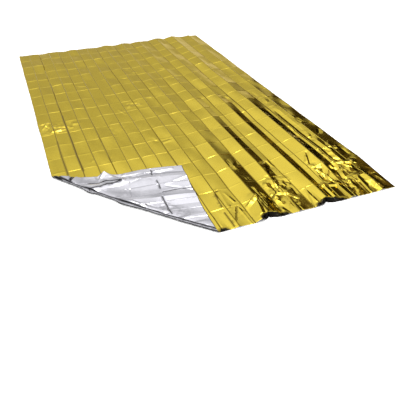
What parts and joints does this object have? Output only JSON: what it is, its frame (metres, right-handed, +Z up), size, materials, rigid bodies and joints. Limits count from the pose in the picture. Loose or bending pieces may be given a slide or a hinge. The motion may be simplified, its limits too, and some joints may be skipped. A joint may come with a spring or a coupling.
{
  "type": "emergency foil blanket",
  "caption": "Thin metallised film blanket lying open, pleated by its packing folds, gold above and silver below, with one corner turned over.",
  "frame": {"origin": "on the floor under the middle of the blanket's bounding box", "axes": "+X across the blanket towards the side with the deep pleats, +Y along it away from the turned corner, +Z up"},
  "size_m": [1.2651, 2.0916, 0.0311],
  "materials": {
    "gold_film": "aluminised polyester film with a gold tinted upper side, mirror bright, creased from packing; its underside is plain silver"
  },
  "bodies": {
    "root": {"foil_sheet": "gold_film"}
  },
  "joints": []
}
